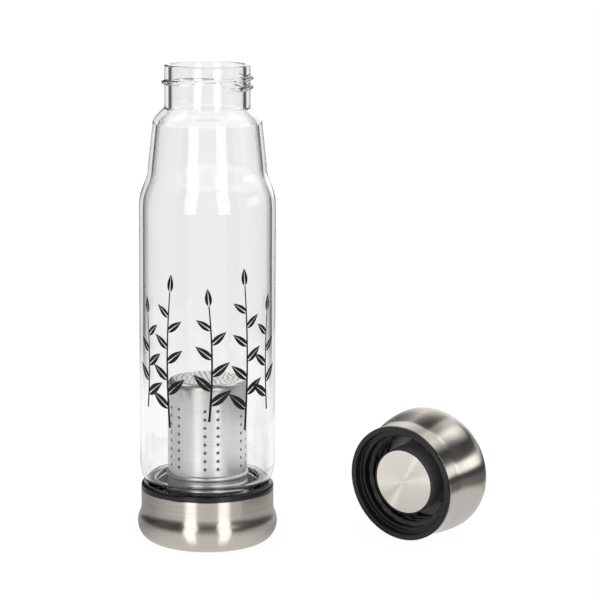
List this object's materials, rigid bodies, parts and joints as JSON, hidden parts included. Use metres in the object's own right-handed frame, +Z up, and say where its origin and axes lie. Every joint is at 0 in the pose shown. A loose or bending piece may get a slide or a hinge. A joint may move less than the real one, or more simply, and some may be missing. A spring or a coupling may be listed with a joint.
{
  "type": "tea infuser bottle",
  "caption": "Clear glass bottle open at both ends, with a screw-on steel base that carries a perforated steel tea strainer, and a screw-on steel cap lying beside it.",
  "frame": {"origin": "centre of the flat foot of the base, on the surface that the bottle stands on", "axes": "+Z up along the bottle's axis, -Y to the front of the bottle, +X to the side where the loose cap lies"},
  "size_m": [0.1714, 0.0736, 0.2336],
  "materials": {
    "brushed_steel": "fine brushing round the axis",
    "polished_steel": "satin polish",
    "black_plastic": "moulded, slightly glossy",
    "grey_silicone": "matt",
    "clear_glass": "clear, polished"
  },
  "bodies": {
    "base": {"base_shell": "brushed_steel", "base_insert": "black_plastic"},
    "seal": {"base_seal": "grey_silicone"},
    "glass": {"glass_body": "clear_glass"},
    "floor_disc": {"base_disc": "polished_steel"},
    "strainer": {"strainer_collar": "polished_steel", "strainer_sleeve": "polished_steel", "strainer_end": "polished_steel"},
    "cap": {"cap_shell": "brushed_steel", "cap_insert": "black_plastic", "cap_disc": "polished_steel", "cap_seal": "grey_silicone"}
  },
  "joints": [
    {"name": "glass_turn", "type": "hinge", "parent": "base", "child": "seal", "pos_m": [0, 0, 0.0137], "axis": [0, 0, 1], "range_deg": [0, 540]},
    {"name": "glass_rise", "type": "slide", "parent": "seal", "child": "glass", "axis": [0, 0, 1], "range_m": [0, 0.0075]},
    {"name": "strainer_turn", "type": "hinge", "parent": "base", "child": "floor_disc", "pos_m": [0, 0, 0.0131], "axis": [0, 0, 1], "range_deg": [0, 540]},
    {"name": "strainer_rise", "type": "slide", "parent": "floor_disc", "child": "strainer", "axis": [0, 0, 1], "range_m": [0, 0.0075]},
    {"name": "cap_lift", "type": "slide", "parent": "base", "child": "cap", "axis": [0, 0, 1], "range_m": [0, 0.1]}
  ],
  "couplings": [
    {"joint": "glass_rise", "follows": "glass_turn", "m_per_rad": 0.00079577},
    {"joint": "strainer_rise", "follows": "strainer_turn", "m_per_rad": 0.00079577}
  ]
}
